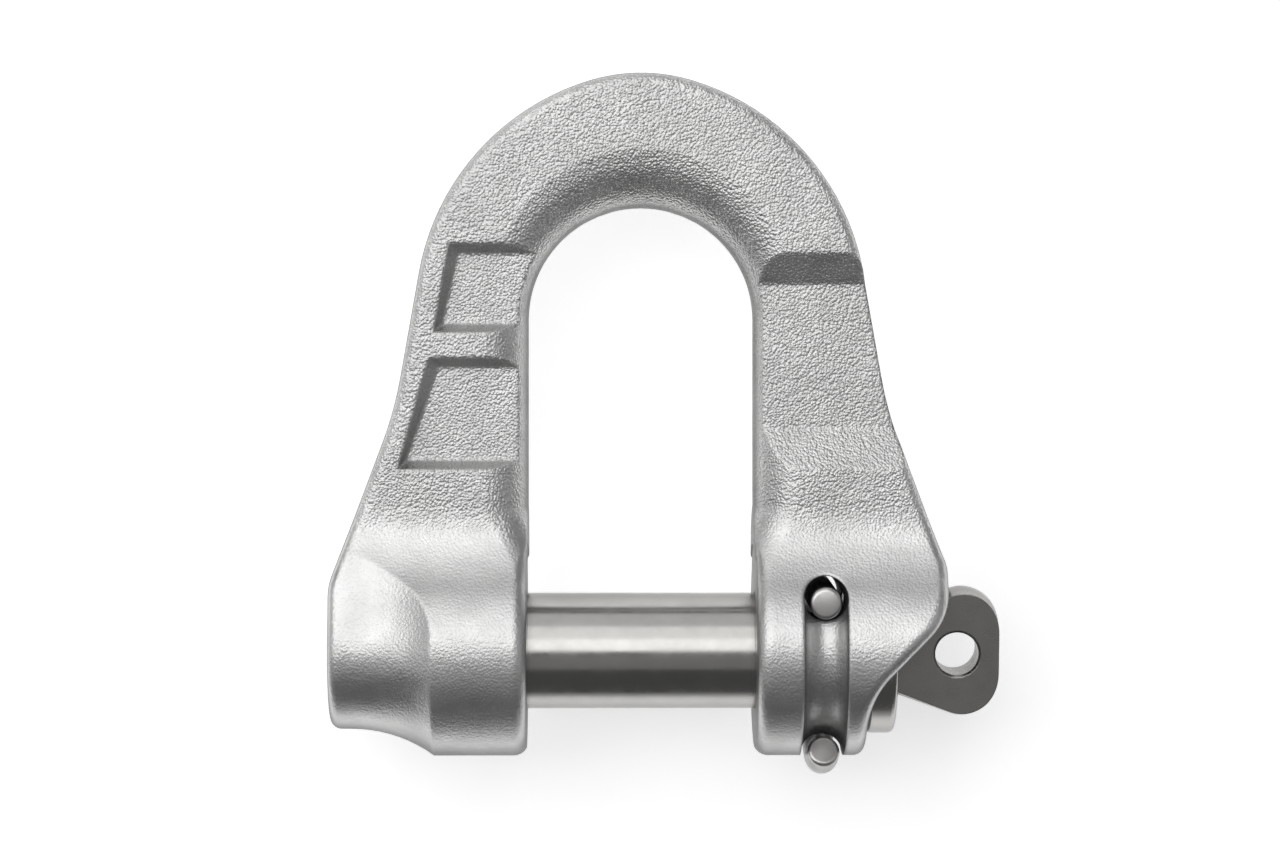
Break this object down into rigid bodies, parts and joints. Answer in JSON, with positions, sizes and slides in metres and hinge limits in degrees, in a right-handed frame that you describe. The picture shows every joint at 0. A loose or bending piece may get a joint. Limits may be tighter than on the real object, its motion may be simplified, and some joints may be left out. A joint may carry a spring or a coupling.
{
  "type": "shackle",
  "caption": "Forged D-shaped shackle with a turned load pin across its jaw, a drilled lug on the pin's end, and a bent wire clip that locks the pin in the eye.",
  "frame": {"origin": "on the load pin's axis, midway between the two eyes and at mid thickness", "axes": "+X along the pin towards its lug, +Y from the pin up to the bow's crown, +Z through the thickness, upward as the shackle lies on its back"},
  "size_m": [0.0922, 0.0965, 0.0315],
  "materials": {
    "forged_steel": "blasted stainless, light grey, fine even grain",
    "turned_steel": "smooth turned stainless, with a satin milled lug",
    "wire_steel": "satin drawn wire"
  },
  "bodies": {
    "shackle": {"shackle_body": "forged_steel"},
    "pin": {"load_pin": "turned_steel"},
    "clip": {"spring_clip": "wire_steel"}
  },
  "joints": [
    {"name": "load_pin_turn", "type": "hinge", "parent": "shackle", "child": "pin", "pos_m": [0, 0, 0], "axis": [1, 0, 0], "continuous": true},
    {"name": "clip_pull", "type": "slide", "parent": "shackle", "child": "clip", "axis": [0, 0, -1], "range_m": [0, 0.03]}
  ]
}
